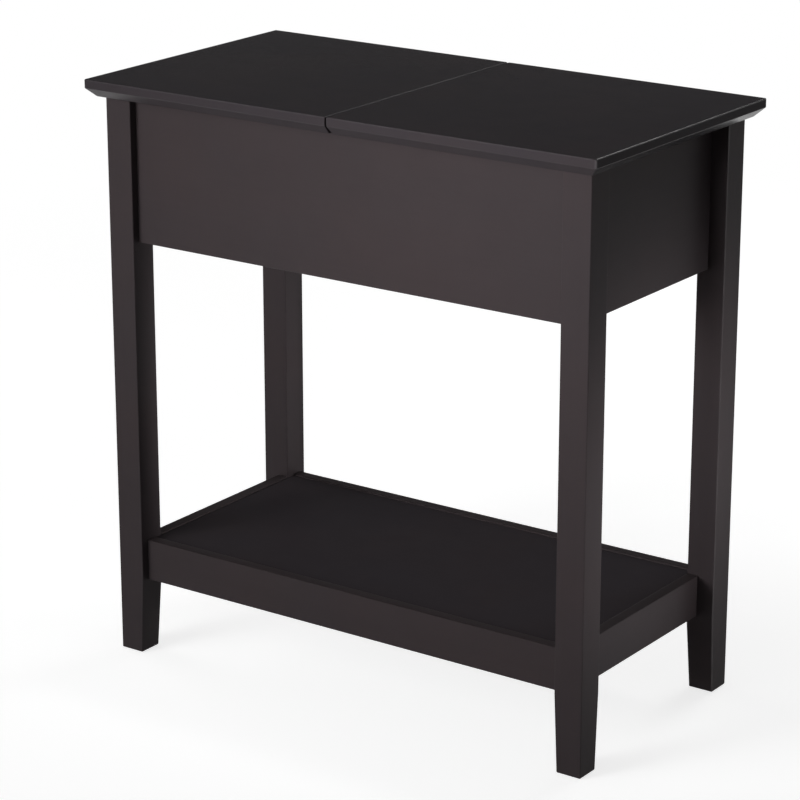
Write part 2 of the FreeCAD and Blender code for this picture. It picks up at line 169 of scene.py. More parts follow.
def markEased(mesh):
    # "eased" is 0 on flat faces and 1 on the narrow faces of a rounded edge, less where the edge
    # faces down or toward the middle of the table, and between the two on a bevel. It scales the
    # painted edge light in the stain (a painted highlight or painted shade, as the finish sets it)
    # and the coat's gloss, so edges facing down or inward get less of both. A face's area over its
    # way round is about half its width, if it is much longer than wide.
    normals = readValues(mesh.polygons, "normal", 3)
    centres = readValues(mesh.polygons, "center", 3)
    places = readValues(mesh.vertices, "co", 3)
    ends = readValues(mesh.edges, "vertices", 2, int)
    lengths = np.linalg.norm(places[ends[:, 1]] - places[ends[:, 0]], axis=1)
    sides = readValues(mesh.loops, "edge_index", kind=int)
    starts = readValues(mesh.polygons, "loop_start", kind=int)
    wayRound = np.add.reduceat(lengths[sides], starts)
    outward = normals[:, :2] * np.sign(centres[:, :2])
    share = np.where(outward.min(axis=1) < -edgeLightAndGlossMark["turned"], edgeLightAndGlossMark["inward"], 1.0)
    share = np.where(normals[:, 2] < -edgeLightAndGlossMark["turned"], edgeLightAndGlossMark["down"], share)
    narrow = readValues(mesh.polygons, "area") < edgeLightAndGlossMark["narrow"] * wayRound
    share = np.where(narrow, share, edgeLightAndGlossMark["bevel"])
    share = np.where(np.abs(normals).max(axis=1) < edgeLightAndGlossMark["flat"], share, 0.0)
    eased = mesh.attributes.new("eased", "FLOAT", "FACE")
    eased.data.foreach_set("value", share.astype(np.float32))


meshFinish = {"merge": 1e-6, "shortest": 1e-7, "sharp": 40, "faceWeight": 100}


def makePiece(points, faces, material, stands, slot, sharp=meshFinish["sharp"]):
    # Closed mesh with flat faces that stay flat in shading, on the body of what it stands for.
    name = stands + "_piece"
    mesh = bpy.data.meshes.new(name)
    mesh.from_pydata(points.tolist(), [], faces)
    shell = bmesh.new()
    shell.from_mesh(mesh)
    bmesh.ops.remove_doubles(shell, verts=shell.verts, dist=meshFinish["merge"])
    bmesh.ops.dissolve_degenerate(shell, edges=shell.edges, dist=meshFinish["shortest"])
    bmesh.ops.recalc_face_normals(shell, faces=shell.faces)
    shell.to_mesh(mesh)
    shell.free()
    markEased(mesh)
    mesh.shade_smooth()
    mesh.set_sharp_from_angle(angle=math.radians(sharp))
    mesh.materials.append(material)
    piece = bpy.data.objects.new(name, mesh)
    bpy.context.scene.collection.objects.link(piece)
    weighted = piece.modifiers.new("flatFaces", "WEIGHTED_NORMAL")
    weighted.keep_sharp = True
    weighted.weight = meshFinish["faceWeight"]
    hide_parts(stands)
    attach(piece, nodes[stands]["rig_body"])


# Effects that several materials share are node groups.

class Wiring:
    # Short words for placing nodes in a tree and joining them up.
    def __init__(self, tree):
        self.tree = tree

    def add(self, kind, settings=None, **inputs):
        # An input is called by its name, or by i and its number, and gets a value or a socket.
        node = self.tree.nodes.new(kind)
        for key, value in (settings or {}).items():
            setattr(node, key, value)
        for key, value in inputs.items():
            socket = node.inputs[int(key[1:]) if key[0] == "i" and key[1:].isdigit() else key]
            if isinstance(value, bpy.types.NodeSocket):
                self.tree.links.new(value, socket)
            else:
                socket.default_value = value
        return node

    def math(self, operation, first, second=0.0, third=0.0):
        node = self.add("ShaderNodeMath", {"operation": operation}, i0=first, i1=second, i2=third)
        return node.outputs[0]

    def mix(self, share, first, second):
        node = self.add("ShaderNodeMix", {"data_type": "RGBA"}, i0=share, i6=first, i7=second)
        return node.outputs[2]

    def ramp(self, value, low, high, fromValue=0.0, toValue=1.0):
        node = self.add("ShaderNodeMapRange", {"interpolation_type": "SMOOTHSTEP"},
                        i0=value, i1=low, i2=high, i3=fromValue, i4=toValue)
        return node.outputs[0]

    def noise(self, place, scale, detail, roughness):
        node = self.add("ShaderNodeTexNoise", None, Vector=place, Scale=scale, Detail=detail,
                        Roughness=roughness)
        return node.outputs["Fac"]

    def stretch(self, place, scale):
        return self.add("ShaderNodeMapping", None, Vector=place, Scale=scale).outputs[0]

    def bump(self, strength, distance, height, **normal):
        node = self.add("ShaderNodeBump", None, Strength=strength, Distance=distance,
                        Height=height, **normal)
        return node.outputs[0]


def newGroup(name, inputs, outputs):
    # Shader group with named sockets, given as label: kind; every material sets all its inputs.
    group = bpy.data.node_groups.new(name, "ShaderNodeTree")
    for way, sockets in (("INPUT", inputs), ("OUTPUT", outputs)):
        for label, kind in sockets.items():
            group.interface.new_socket(name=label, in_out=way, socket_type="NodeSocket" + kind)
    wire = Wiring(group)
    return group, wire, wire.add("NodeGroupInput").outputs


# In the four effects a noise is its scale, detail and roughness, and limits are where a ramp
# starts and ends, with the values there if they aren't 0 and 1.
lacquerEffect = {
    "drift": (7.0, 3.0, 0.55), "driftLimits": (0.35, 0.7),
    "grain": (1.0, 4.0, 0.6), "grainStretch": (9.0, 260.0, 260.0),
    "cloud": (34.0, 4.0, 0.62), "middle": 0.5,
    "edgeBreakup": (52.0, 3.0, 0.65), "edgeBreakupLimits": (0.35, 0.62, 0.7, 1.0),
    "speckCells": 55.0, "speckRarity": 0.965, "speckLimits": (0.028, 0.012),
    "speckColor": (0.3, 0.28, 0.27, 1), "peel": (420.0, 1.0, 0.5), "depth": 0.0002,
}


def makeLacquerGroup():
    # Sprayed satin lacquer: slow drift in the stain, cloudy mottling, faint grain that shows
    # through, orange peel, settled specks, and eased edges. There the stain is lightened as a
    # painted edge highlight, or darkened as painted edge shade, by the painted edge light input,
    # and the coat is glossy by "Edge Polish", in places more than in others.
    look = lacquerEffect
    group, wire, given = newGroup("sprayedLacquer", {
        "Place": "Vector", "Stain": "Color", "Warm Stain": "Color", "Drift": "Float",
        "Satin": "Float", "Satin Spread": "Float", "Grain Depth": "Float",
        "Peel Depth": "Float", "Specks": "Float", "Grain Shade": "Float", "Mottle": "Float",
        "Eased": "Float", "Edge Polish": "Float", "Edge Shade": "Float"},
        {"Color": "Color", "Roughness": "Float", "Normal": "Vector", "Gloss": "Float"})
    place = given["Place"]
    drift = wire.noise(place, *look["drift"])
    warm = wire.math("MULTIPLY", wire.ramp(drift, *look["driftLimits"]), given["Drift"])
    stain = wire.mix(warm, given["Stain"], given["Warm Stain"])
    grain = wire.noise(wire.stretch(place, look["grainStretch"]), *look["grain"])
    cloud = wire.noise(place, *look["cloud"])
    # patchy edge mark: how much painted edge light and coat gloss each spot of an eased edge gets
    edgeBreakup = wire.ramp(wire.noise(place, *look["edgeBreakup"]), *look["edgeBreakupLimits"])
    edgeBreakup = wire.math("MULTIPLY", edgeBreakup, given["Eased"])
    shade = wire.math("MULTIPLY_ADD", wire.math("SUBTRACT", grain, look["middle"]),
                      given["Grain Shade"], 1.0)
    shade = wire.math("MULTIPLY_ADD", wire.math("SUBTRACT", cloud, look["middle"]),
                      given["Mottle"], shade)
    # painted edge light: eased edges lightened as a painted highlight, darkened as painted shade
    # below 0
    shade = wire.math("MULTIPLY_ADD", edgeBreakup, given["Edge Shade"], shade)
    stained = wire.add("ShaderNodeVectorMath", {"operation": "SCALE"}, Vector=stain, Scale=shade)
    cells = wire.add("ShaderNodeTexVoronoi", None, Vector=place, Scale=look["speckCells"])
    chance = wire.add("ShaderNodeSeparateColor", None, i0=cells.outputs["Color"]).outputs[0]
    lone = wire.math("GREATER_THAN", chance, look["speckRarity"])
    speck = wire.math("MULTIPLY", wire.ramp(cells.outputs["Distance"], *look["speckLimits"]), lone)
    speck = wire.math("MULTIPLY", speck, given["Specks"])
    color = wire.mix(speck, stained.outputs[0], look["speckColor"])
    satin = wire.math("MULTIPLY_ADD", wire.math("SUBTRACT", drift, look["middle"]),
                      given["Satin Spread"], given["Satin"])
    normal = wire.bump(given["Grain Depth"], look["depth"], grain)
    normal = wire.bump(given["Peel Depth"], look["depth"], wire.noise(place, *look["peel"]),
                       Normal=normal)
    wire.add("NodeGroupOutput", None, Color=color, Roughness=satin, Normal=normal,
             Gloss=wire.math("MULTIPLY", edgeBreakup, given["Edge Polish"]))
    return group


woodEffect = {
    "stretch": (12.0, 190.0, 190.0), "bands": (1.0, 3.0, 0.55), "flecks": (6.0, 1.0, 0.5),
    "bandLimits": (0.42, 0.62, 0.0, 0.7), "fleckLimits": (0.62, 0.72, 0.0, 0.35),
    "roughSpread": 0.15, "rough": 0.55, "depth": 0.0003,
}


def makeWoodGroup():
    # Plain wood: rings stretched along the grain, with short dark flecks.
    look = woodEffect
    group, wire, given = newGroup("plainWood", {
        "Place": "Vector", "Light Wood": "Color", "Dark Wood": "Color", "Depth": "Float"},
        {"Color": "Color", "Roughness": "Float", "Normal": "Vector"})
    long = wire.stretch(given["Place"], look["stretch"])
    bands = wire.noise(long, *look["bands"])
    flecks = wire.noise(long, *look["flecks"])
    dark = wire.math("ADD", wire.ramp(bands, *look["bandLimits"]),
                     wire.ramp(flecks, *look["fleckLimits"]))
    color = wire.mix(dark, given["Light Wood"], given["Dark Wood"])
    rough = wire.math("MULTIPLY_ADD", bands, look["roughSpread"], look["rough"])
    normal = wire.bump(given["Depth"], look["depth"], bands)
    wire.add("NodeGroupOutput", None, Color=color, Roughness=rough, Normal=normal)
    return group


plateEffect = {
    "clouds": (90.0, 3.0, 0.6), "cloudLimits": (0.4, 0.75), "lines": (1.0, 2.0, 0.6),
    "lineStretch": (900.0, 40.0, 900.0), "roughSpread": 0.1, "depth": 0.00005,
}


def makePlateGroup():
    # Plated steel: rolling lines along the strip and cloudy dull patches. "Satin" is the
    # roughness that both add to.
    look = plateEffect
    group, wire, given = newGroup("platedSteel", {
        "Place": "Vector", "Plating": "Color", "Dull Plating": "Color", "Satin": "Float",
        "Lines": "Float"},
        {"Color": "Color", "Roughness": "Float", "Normal": "Vector"})
    clouds = wire.noise(given["Place"], *look["clouds"])
    lines = wire.noise(wire.stretch(given["Place"], look["lineStretch"]), *look["lines"])
    dull = wire.ramp(clouds, *look["cloudLimits"])
    color = wire.mix(dull, given["Plating"], given["Dull Plating"])
    uneven = wire.math("MULTIPLY", wire.math("ADD", clouds, lines), look["roughSpread"])
    rough = wire.math("ADD", given["Satin"], uneven)
    normal = wire.bump(given["Lines"], look["depth"], lines)
    wire.add("NodeGroupOutput", None, Color=color, Roughness=rough, Normal=normal)
    return group


feltEffect = {
    "mat": (900.0, 4.0, 0.7), "matLimits": (0.4, 0.7), "tufts": (2600.0, 2.0, 0.6),
    "depth": 0.0004,
}


def makeFeltGroup():
    # Pressed felt: matted fibres in two sizes, lighter where they stand up.
    look = feltEffect
    group, wire, given = newGroup("pressedFelt", {
        "Place": "Vector", "Wool": "Color", "Fibre": "Color", "Nap": "Float"},
        {"Color": "Color", "Normal": "Vector"})
    mat = wire.noise(given["Place"], *look["mat"])
    tufts = wire.noise(given["Place"], *look["tufts"])
    color = wire.mix(wire.ramp(mat, *look["matLimits"]), given["Wool"], given["Fibre"])
    normal = wire.bump(given["Nap"], look["depth"], wire.math("ADD", mat, tufts))
    wire.add("NodeGroupOutput", None, Color=color, Normal=normal)
    return group


groups = {"lacquer": makeLacquerGroup(), "wood": makeWoodGroup(), "plate": makePlateGroup(),
          "felt": makeFeltGroup()}


def makeMaterial(name, effect, values, surface, turn=(0.0, 0.0, 0.0)):
    # Material with one shared effect; the turn lays its grain along the piece. The coat is
    # left off where the finish has no edge polish.
    material = bpy.data.materials.new(name)
    material.use_nodes = True
    material.node_tree.nodes.clear()
    wire = Wiring(material.node_tree)
    place = wire.add("ShaderNodeTexCoord").outputs["Object"]
    place = wire.add("ShaderNodeMapping", None, Vector=place, Rotation=turn).outputs[0]
    if effect == "lacquer":
        mark = wire.add("ShaderNodeAttribute", {"attribute_name": "eased"}).outputs["Fac"]
        values = dict(values, Eased=mark)
    look = wire.add("ShaderNodeGroup", {"node_tree": groups[effect]}, Place=place, **values)
    shader = wire.add("ShaderNodeBsdfPrincipled", None, **surface)
    for label, target in (("Color", "Base Color"), ("Roughness", "Roughness"),
                          ("Normal", "Normal"), ("Gloss", "Coat Weight")):
        if label in look.outputs and (label != "Gloss" or values["Edge Polish"] > 0):
            wire.tree.links.new(look.outputs[label], shader.inputs[target])
    wire.add("ShaderNodeOutputMaterial", None, Surface=shader.outputs[0])
    return material


# A finish holds the lacquer effect's inputs, and "specular" for the shader itself. Its edge
# light value paints light on eased edges: above 0 a painted highlight, below 0 painted shade.
frameFinish = {
    "Stain": (0.0475, 0.0392, 0.0416, 1), "Warm Stain": (0.052, 0.0402, 0.0418, 1),
    "Drift": 0.6, "Satin": 0.40, "Satin Spread": 0.08, "Grain Depth": 0.1, "Peel Depth": 0.1,
    "Specks": 0.5, "Grain Shade": 0.07, "Mottle": 0.14, "Edge Polish": 0.1,
    "Edge Shade": -0.15, "specular": 0.035,
}
lidFinish = {
    "Stain": (0.045, 0.039, 0.0435, 1), "Warm Stain": (0.0485, 0.0398, 0.0425, 1),
    "Drift": 0.6, "Satin": 0.19, "Satin Spread": 0.03, "Grain Depth": 0.08, "Peel Depth": 0.1,
    "Specks": 0.4, "Grain Shade": 0.06, "Mottle": 0.16, "Edge Polish": 1.0,
    "Edge Shade": 0.08, "specular": 0.016,
}
liningFinish = {
    "Stain": (0.062, 0.052, 0.051, 1), "Warm Stain": (0.068, 0.054, 0.051, 1),
    "Drift": 0.8, "Satin": 0.6, "Satin Spread": 0.1, "Grain Depth": 0.2, "Peel Depth": 0.15,
    "Specks": 0.6, "Grain Shade": 0.2, "Mottle": 0.16, "Edge Polish": 0.4,
    "Edge Shade": 0.1, "specular": 0.1,
}
battenFinish = {
    "Stain": (0.045, 0.034, 0.03, 1), "Warm Stain": (0.058, 0.04, 0.032, 1),
    "Drift": 1.0, "Satin": 0.68, "Satin Spread": 0.12, "Grain Depth": 0.6, "Peel Depth": 0.05,
    "Specks": 0.2, "Grain Shade": 0.35, "Mottle": 0.1, "Edge Polish": 0.0,
    "Edge Shade": 0.0, "specular": 0.12,
}
rubbedFinish = dict(frameFinish, **{"Edge Polish": 1.0})    # for the leg whose edge is rubbed
coatRoughness = 0.24

alongX = (0.0, 0.0, 0.0)
alongY = (0.0, 0.0, -math.pi / 2)
alongZ = (0.0, math.pi / 2, 0.0)


def lacquer(name, finish, turn):
    values = dict(finish)
    surface = {"Specular IOR Level": values.pop("specular"), "Coat Roughness": coatRoughness}
    return makeMaterial(name, "lacquer", values, surface, turn)


frameAlongX = lacquer("frameLacquerAlongX", frameFinish, alongX)
frameAlongY = lacquer("frameLacquerAlongY", frameFinish, alongY)
frameUpright = lacquer("frameLacquerUpright", frameFinish, alongZ)
rubbedUpright = lacquer("rubbedLacquerUpright", rubbedFinish, alongZ)
lidLacquer = lacquer("lidLacquer", lidFinish, alongX)
shelfLacquer = lacquer("shelfLacquer", lidFinish, alongX)
liningLacquer = lacquer("liningLacquer", liningFinish, alongX)
battenWood = lacquer("battenWood", battenFinish, alongX)
beechWood = makeMaterial("beechDowel", "wood", {
    "Light Wood": (0.6, 0.43, 0.27, 1), "Dark Wood": (0.44, 0.29, 0.17, 1), "Depth": 0.4},
    {"Specular IOR Level": 0.3})
hingeSteel = makeMaterial("nickelPlatedSteel", "plate", {
    "Plating": (0.62, 0.61, 0.58, 1), "Dull Plating": (0.5, 0.49, 0.46, 1), "Satin": 0.2,
    "Lines": 0.35}, {"Metallic": 1.0})
pinSteel = makeMaterial("brightSteel", "plate", {
    "Plating": (0.6, 0.6, 0.6, 1), "Dull Plating": (0.5, 0.5, 0.5, 1), "Satin": 0.12,
    "Lines": 0.2}, {"Metallic": 1.0})
screwSteel = makeMaterial("zincPlatedSteel", "plate", {
    "Plating": (0.55, 0.55, 0.53, 1), "Dull Plating": (0.42, 0.42, 0.4, 1), "Satin": 0.24,
    "Lines": 0.2}, {"Metallic": 1.0})
felt = makeMaterial("blackFelt", "felt", {
    "Wool": (0.09, 0.085, 0.08, 1), "Fibre": (0.17, 0.16, 0.15, 1), "Nap": 0.8},
    {"Roughness": 0.95, "Specular IOR Level": 0.2})
print("materials made")


# Legs are square above the shelf rails, and their inner faces taper below.
legShape = {
    "taper": 0.0038, "taperTop": 0.082, "crease": 0.0006, "ease": 0.001, "steps": 5,
    "material": {"front_left_leg": frameUpright, "front_right_leg": frameUpright,
                 "back_left_leg": frameUpright, "back_right_leg": rubbedUpright},
}


def makeLeg(node, material):
    # The inner faces lie in by taper * (top - z) / (top - low), and both ends are eased. Two
    # loops close together make the crease where the taper starts.
    low, high = (np.array(corner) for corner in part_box(node))
    top, ease = legShape["taperTop"], legShape["ease"]
    draw, place = easedEnd(ease, legShape["steps"])
    crease = top + legShape["crease"] * np.array([-1.0, 1.0])
    heights = np.concatenate([low[2] + place, crease, high[2] - place[::-1]])
    inset = np.concatenate([draw, [0, 0], draw[::-1]])
    cut = (legShape["taper"] * np.clip((top - heights) / (top - low[2]), 0, 1))[:, None]
    outward = np.sign(low[:2] + high[:2])
    lows = low[:2] + inset[:, None] + np.where(outward > 0, cut, 0)
    highs = high[:2] - inset[:, None] - np.where(outward < 0, cut, 0)
    loops = squareLoops(lows, highs, ease - inset, legShape["steps"])
    makePiece(*stackLoops(loops, heights), material, node, "frame_lacquer")


for node, material in legShape["material"].items():
    makeLeg(node, material)
print("legs made")


# Box panels, shelf rails, level panels and divider are boards.
boardShape = {
    "ease": {"apron": 0.0009, "shelf_rail": 0.0011, "panel": 0.0008},
    "grain": {"front": frameAlongX, "back": frameAlongX, "left": frameAlongY,
              "right": frameAlongY},
    "panels": {"shelf_panel": (shelfLacquer, "shelf_lacquer"),
               "storage_floor": (liningLacquer, "box_lining"),
               "centre_divider": (liningLacquer, "box_lining")},
}


def makeBoard(node, ease, material, slot):
    makePiece(*easedBoard(*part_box(node), ease), material, node, slot)


for kind in ("apron", "shelf_rail"):
    for side, material in boardShape["grain"].items():
        makeBoard(side + "_" + kind, boardShape["ease"][kind], material, "frame_lacquer")
for node, (material, slot) in boardShape["panels"].items():
    makeBoard(node, boardShape["ease"]["panel"], material, slot)
print("boards made")


# Lids have a straight edge over a 45 degree bevel on three sides, and two cup bores below.
lidShape = {
    "bevel": 0.009, "bevelFoot": 0.0012, "bevelTop": 0.0012, "topEase": 0.0011, "arcSteps": 5,
    "seamRelief": 0.0015, "seamEase": 0.0008, "seamRound": 0.0005,
    # the outer corners' radius, what it loses for each unit of inset, as far as which inset,
    # and the least that is left of it
    "cornerRound": 0.0016, "cornerLoss": 0.5, "cornerReach": 0.002, "cornerLeast": 0.0004,
    "cornerSteps": 5,
    "boreAcross": 0.0235, "boreReach": 0.078, "boreWidth": 0.0352, "boreDepth": 0.0121,
    "boreSteps": 72, "sharp": 50,
}


def lidLoops(low, high):
    # The edge's profile gives an inset and a height at each station, and the loop there is the
    # outline drawn in by that inset. The seam side is drawn in by (relief - z) below instead,
    # and above by seamEase * (1 - sqrt(1 - t^2)), with t from 0 to 1 over the top's ease.
    bevel, ease = lidShape["bevel"], lidShape["topEase"]
    level = 2 * bevel    # where the profile starts and ends, on the flat faces
    profile = roundedLine(
        [(level, low[2]), (bevel, low[2]), (0, low[2] + bevel), (0, high[2]), (level, high[2])],
        [lidShape["bevelFoot"], lidShape["bevelTop"], ease], lidShape["arcSteps"])
    inset, heights = profile[:, 0], profile[:, 1]
    fromTop = np.clip((heights - (high[2] - ease)) / ease, 0, 1)
    seamInset = (np.clip(lidShape["seamRelief"] - (heights - low[2]), 0, None)
                 + lidShape["seamEase"] * (1 - np.sqrt(1 - fromTop ** 2)))
    seam, outer = min(abs(low[0]), abs(high[0])), max(abs(low[0]), abs(high[0]))
    lows = np.stack([seam + seamInset, low[1] + inset], axis=1)
    highs = np.stack([outer - inset, high[1] - inset], axis=1)
    loss = lidShape["cornerLoss"] * np.minimum(inset, lidShape["cornerReach"])
    outerRound = np.maximum(lidShape["cornerRound"] - loss, lidShape["cornerLeast"])
    seamRound = np.full(len(inset), lidShape["seamRound"])
    radius = np.stack([seamRound, outerRound, outerRound, seamRound], axis=1)
    loops = squareLoops(lows, highs, radius, lidShape["cornerSteps"])
    # two more points on each loop, level with the bores, where the underside is divided
    quarter = lidShape["cornerSteps"] + 1
    across = np.full(len(heights), lidShape["boreAcross"])
    front = np.stack([across, lows[:, 1]], axis=1)[:, None]
    back = np.stack([across, highs[:, 1]], axis=1)[:, None]
    loops = np.concatenate([loops[:, :quarter], front, loops[:, quarter:3 * quarter], back,
                            loops[:, 3 * quarter:]], axis=1)
    return loops, heights, quarter, 3 * quarter + 1


def makeLid(side, sign):
    # Worked out as the right lid, and mirrored for the left one.
    low, high = (np.array(corner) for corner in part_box(side + "_lid"))
    loops, heights, frontSplit, backSplit = lidLoops(low, high)
    points, faces = stackLoops(loops, heights)
    faces = faces[:-2] + [faces[-1]]    # without its own underside, the last face but one
    # bores: circles of points, each wall from the underside up to a flat end
    steps = lidShape["boreSteps"]
    angle = np.arange(steps) * 2 * math.pi / steps - math.pi / 2
    circle = np.stack([np.cos(angle), np.sin(angle)], axis=1) * lidShape["boreWidth"] / 2
    starts = []
    for middle in (-lidShape["boreReach"], lidShape["boreReach"]):
        starts.append(len(points))
        rim = circle + (lidShape["boreAcross"], middle)
        wall = np.stack([rim, rim])[:, ::-1]
        bore, boreFaces = stackLoops(wall, [low[2], low[2] + lidShape["boreDepth"]])
        faces += shiftedFaces(boreFaces[:-2] + [boreFaces[-1]], len(points))
        points = np.vstack([points, bore])
    # underside in two halves, each an outline that runs round its side of both bores
    half, count = steps // 2, loops.shape[1]
    rims = [start + (steps - 1 - np.arange(steps + 1)) % steps for start in starts]
    seamSide = list(range(backSplit, count)) + list(range(0, frontSplit + 1))
    outerSide = list(range(frontSplit, backSplit + 1))
    nearSeam = [list(rim[half:][::-1]) for rim in rims]
    farSide = [list(rim[:half + 1]) for rim in rims]
    faces.append([int(i) for i in seamSide + nearSeam[0] + nearSeam[1]])
    faces.append([int(i) for i in outerSide + farSide[1][::-1] + farSide[0][::-1]])
    makePiece(points * (sign, 1, 1), faces, lidLacquer, side + "_lid", "lid_lacquer",
              lidShape["sharp"])


for side, sign in (("left", -1), ("right", 1)):
    makeLid(side, sign)
print("lids made")


# Screws have a domed head with a cross recess, and a straight shank.
screwShape = {
    "segments": 48, "innerRings": (0.04, 0.8, 16), "outerRings": (0.88, 0.94, 0.98, 1.0),
    "dome": 0.18, "edgeStart": 0.88, "edgeDrop": 0.35,    # shares of the head's depth and radius
    "recess": 0.55, "armWidth": 0.19, "armReach": 0.62, "slope": 0.09,
    "tip": 0.3, "underHead": 0.97, "headSide": 0.9, "sharp": 35,
    "kinds": {
        "cup_screws": {"head": 0.0035, "headDepth": 0.002, "shank": 0.00165, "length": 0.012},
        "plate_screws": {"head": 0.0035, "headDepth": 0.002, "shank": 0.00165, "length": 0.010},
        "arm_screws": {"head": 0.00425, "headDepth": 0.002, "shank": 0.0024, "length": 0.010},
    },
}


def recessShare(value, edge):
    # 1 below the edge, falling to 0 over the slope of the recess's wall.
    return np.clip((edge + screwShape["slope"] - value) / screwShape["slope"], 0, 1)


def makeScrews(node, kind, centres, outward):
    # Polar grid. The head's height is depth * (1 - dome * r^2 - edgeDrop * e^2), with e from 0
    # to 1 over its outermost part, less the recess, which is deep where |x| or |y| is under
    # half an arm's width and r is under its reach.
    shape, size = screwShape, screwShape["kinds"][kind]
    head, depth, shank = size["head"], size["headDepth"], size["shank"]
    angle = np.arange(shape["segments"]) * 2 * math.pi / shape["segments"]
    share = np.concatenate([np.linspace(*shape["innerRings"]), shape["outerRings"]])[::-1, None]
    x, y = share * np.cos(angle), share * np.sin(angle)
    cross = np.maximum(recessShare(np.abs(x), shape["armWidth"] / 2),
                       recessShare(np.abs(y), shape["armWidth"] / 2))
    recess = shape["recess"] * cross * recessShare(share, shape["armReach"])
    edge = np.clip(share - shape["edgeStart"], 0, 1) / (1 - shape["edgeStart"])
    domed = 1 - shape["dome"] * share ** 2 - shape["edgeDrop"] * edge ** 2
    top = np.stack([x * head, y * head, -depth * (1 - domed) - depth * recess], axis=2)
    # radius and depth of each ring from the tip up to the rim of the head
    below = np.array([
        (shank * shape["tip"], size["length"]), (shank, size["length"] - shank),
        (shank, depth), (head * shape["underHead"], depth), (head, depth * shape["headSide"])])
    turn = np.stack([np.cos(angle), np.sin(angle)], axis=1)
    level = np.broadcast_to(below[:, 1:, None], (len(below), len(angle), 1))
    grid = np.concatenate([np.concatenate([below[:, :1, None] * turn[None], -level], axis=2), top])
    local = grid.reshape(-1, 3)
    faces = closedFaces(*grid.shape[:2])
    axis, side = np.array(outward, float), np.array([0.0, 1.0, 0.0])
    turned = local[:, :1] * side + local[:, 1:2] * np.cross(axis, side) + local[:, 2:] * axis
    points = (np.array(centres)[:, None] + turned[None]).reshape(-1, 3)
    every = [face for k in range(len(centres)) for face in shiftedFaces(faces, k * len(local))]
    makePiece(points, every, screwSteel, node, "screw_steel", shape["sharp"])


screwPlaces = {
    "hinges": (-0.078, 0.078), "cupAcross": 0.0235, "cupReach": 0.024, "cupFace": 0.594,
    "plateFace": 0.0115, "plateReach": 0.016, "plateHeight": 0.551, "armFace": 0.0175,
}
for side, sign in (("left", -1), ("right", 1)):
    hinges = screwPlaces["hinges"]
    makeScrews(side + "_cup_screws", "cup_screws", [
        (sign * screwPlaces["cupAcross"], y + end * screwPlaces["cupReach"],
         screwPlaces["cupFace"]) for y in hinges for end in (-1, 1)], (0, 0, -1))
    makeScrews(side + "_plate_screws", "plate_screws", [
        (sign * screwPlaces["plateFace"], y + end * screwPlaces["plateReach"],
         screwPlaces["plateHeight"]) for y in hinges for end in (-1, 1)], (sign, 0, 0))
    makeScrews(side + "_arm_screws", "arm_screws", [
        (sign * screwPlaces["armFace"], y, screwPlaces["plateHeight"]) for y in hinges],
        (sign, 0, 0))
print("screws made")


# Felt pads are soft squares with a swollen edge.
padShape = {"width": 0.018, "corner": 0.0025, "swell": 0.0004, "steps": 5, "layers": 7,
            "sharp": 60}


def makePads():
    # At share s of its height a pad is the square drawn in by swell * (2 s - 1)^2.
    low, high = (np.array(corner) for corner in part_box("foot_pads"))
    width = padShape["width"]
    share = np.linspace(0, 1, padShape["layers"])
    draw = (padShape["swell"] * (2 * share - 1) ** 2)[:, None]
    pads, every = [], []
    for x in (low[0], high[0] - width):
        for y in (low[1], high[1] - width):
            start = np.array([x, y])
            loops = squareLoops(start + draw, start + width - draw, padShape["corner"],
                                padShape["steps"])
            points, faces = stackLoops(loops, low[2] + share * (high[2] - low[2]))
            every += shiftedFaces(faces, len(pads) * len(points))
            pads.append(points)
    makePiece(np.vstack(pads), every, felt, "foot_pads", "felt", padShape["sharp"])


makePads()
print("pads made")


# Nodes that stay as they are get the finish that goes with the end of their name, and the
# hidden ones the frame's.
nodeFinish = {"dowels": beechWood, "cleats": battenWood, "pins": pinSteel,
              "hinge_cups": hingeSteel, "hinge_links": hingeSteel, "hinge_arms": hingeSteel,
              "mounting_plates": hingeSteel}
for name, node in nodes.items():
    chosen = frameAlongX if node.hide_render else next(
        material for end, material in nodeFinish.items() if name.endswith(end))
    for slot in node.material_slots:
        slot.material = chosen
print("nodes finished")


# Floor, light and camera.
studio = {
    "floorReach": 12.0, "floorTone": 0.6, "floorFill": 0.76, "fadeStart": 0.7, "fadeEnd": 2.2,
    "ambient": 0.09, "ceilingTone": 0.03, "horizonEnd": 0.08, "ceilingStart": 0.14,
    "lamps": {
        # name: place, aimed at, width and height, watts, spread in degrees
        "keySoftbox": ((-1.2, -2.3, 1.1), (0.0, 0.0, 0.34), (1.7, 1.7), 23.0, 180),
        "griddedLeft": ((-0.9, -2.1, 0.95), (0.0, -0.15, 0.58), (0.7, 0.7), 1.7, 45),
        "griddedRight": ((0.25, -2.3, 0.95), (0.25, -0.15, 0.62), (0.4, 0.4), 0.6, 26),
        "griddedSide": ((2.4, -0.04, 0.27), (0.28, 0.0, 0.27), (0.12, 0.12), 0.27, 14),
        "leftSoftbox": ((-2.2, 0.2, 0.9), (0.0, 0.0, 0.34), (1.0, 1.0), 7.0, 180),
        "backSoftbox": ((0.0, 2.6, 0.4), (0.0, 0.0, 0.3), (0.9, 0.9), 20.0, 180),
        "edgeSoftbox": ((0.4, 1.9, 2.0), (0.0, 0.0, 0.6), (0.8, 0.4), 7.0, 180),
    },
    "mirrored": "edgeSoftbox",
}
white = (1, 1, 1, 1)


def seenDirectly(wire):
    # 1 for rays from the lens and for those that a surface mirrors or passes on.
    ray = wire.add("ShaderNodeLightPath").outputs
    either = wire.math("MAXIMUM", ray["Is Camera Ray"], ray["Is Glossy Ray"])
    return wire.math("MAXIMUM", either, ray["Is Transmission Ray"])


